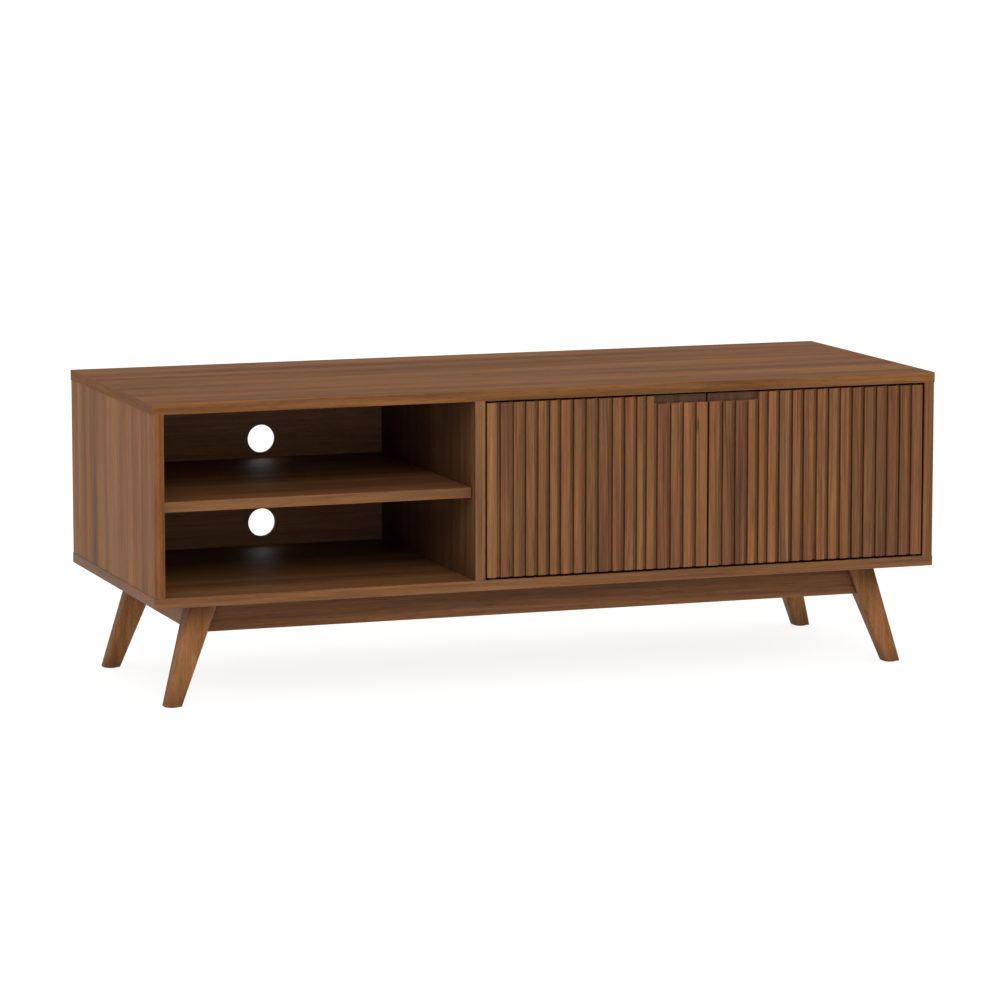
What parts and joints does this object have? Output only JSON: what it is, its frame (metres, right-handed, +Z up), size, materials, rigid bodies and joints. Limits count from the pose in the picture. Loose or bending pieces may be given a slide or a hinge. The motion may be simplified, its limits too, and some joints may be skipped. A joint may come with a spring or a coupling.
{
  "type": "tv stand with doors",
  "caption": "Low media cabinet with shelved open bays and cable holes on one side, a cupboard with fluted swing doors on the other, on splayed tapered legs.",
  "frame": {"origin": "on the floor, under the middle of the cabinet", "axes": "+X to the cabinet's right as seen from the front, +Y to the rear, +Z up"},
  "size_m": [1.2, 0.46, 0.442],
  "materials": {
    "walnut_board": "walnut veneer on board, satin lacquer",
    "walnut_facing": "fluted walnut slats, satin lacquer, colour varies slat to slat",
    "walnut_solid": "solid stained walnut, satin lacquer",
    "back_board": "thin board with walnut foil, matt",
    "block_wood": "raw pine, planed",
    "zinc_steel": "zinc-plated steel",
    "black_plastic": "black moulded plastic",
    "felt": "dark pressed felt"
  },
  "bodies": {
    "carcass": {"back_joint_strip": "black_plastic", "bay_shelf": "walnut_board", "bottom_panel": "walnut_board", "cam_bolt_divider_front": "zinc_steel", "cam_bolt_divider_rear": "zinc_steel", "cam_bolt_left_side_front": "zinc_steel", "cam_bolt_left_side_rear": "zinc_steel", "cam_bolt_right_side_front": "zinc_steel", "cam_bolt_right_side_rear": "zinc_steel", "cam_lock_divider_front": "zinc_steel", "cam_lock_divider_rear": "zinc_steel", "cam_lock_left_side_front": "zinc_steel", "cam_lock_left_side_rear": "zinc_steel", "cam_lock_right_side_front": "zinc_steel", "cam_lock_right_side_rear": "zinc_steel", "centre_divider": "walnut_board", "front_apron": "walnut_solid", "front_left_corner_block": "block_wood", "front_left_foot_pad": "felt", "front_left_leg": "walnut_solid", "front_left_leg_bolt": "zinc_steel", "front_right_corner_block": "block_wood", "front_right_foot_pad": "felt", "front_right_leg": "walnut_solid", "front_right_leg_bolt": "zinc_steel", "left_back_panel": "back_board", "left_door_lower_bush": "black_plastic", "left_door_upper_bush": "black_plastic", "left_front_shelf_support": "zinc_steel", "left_rear_shelf_support": "zinc_steel", "left_side_panel": "walnut_board", "left_side_rail": "walnut_solid", "magnetic_catch": "black_plastic", "rear_apron": "walnut_solid", "rear_left_corner_block": "block_wood", "rear_left_foot_pad": "felt", "rear_left_leg": "walnut_solid", "rear_left_leg_bolt": "zinc_steel", "rear_right_corner_block": "block_wood", "rear_right_foot_pad": "felt", "rear_right_leg": "walnut_solid", "rear_right_leg_bolt": "zinc_steel", "right_back_panel": "back_board", "right_door_lower_bush": "black_plastic", "right_door_upper_bush": "black_plastic", "right_front_shelf_support": "zinc_steel", "right_rear_shelf_support": "zinc_steel", "right_side_panel": "walnut_board", "right_side_rail": "walnut_solid", "top_panel": "walnut_board"},
    "left_door": {"left_door_board": "walnut_board", "left_door_lower_pin": "zinc_steel", "left_door_slats": "walnut_facing", "left_door_strike": "zinc_steel", "left_door_upper_pin": "zinc_steel"},
    "right_door": {"right_door_board": "walnut_board", "right_door_lower_pin": "zinc_steel", "right_door_slats": "walnut_facing", "right_door_strike": "zinc_steel", "right_door_upper_pin": "zinc_steel"}
  },
  "joints": [
    {"name": "left_door_hinge", "type": "hinge", "parent": "carcass", "child": "left_door", "pos_m": [-0.094, -0.223, 0.297], "axis": [0, 0, -1], "range_deg": [0, 110]},
    {"name": "right_door_hinge", "type": "hinge", "parent": "carcass", "child": "right_door", "pos_m": [0.571, -0.223, 0.297], "axis": [0, 0, 1], "range_deg": [0, 110]}
  ]
}
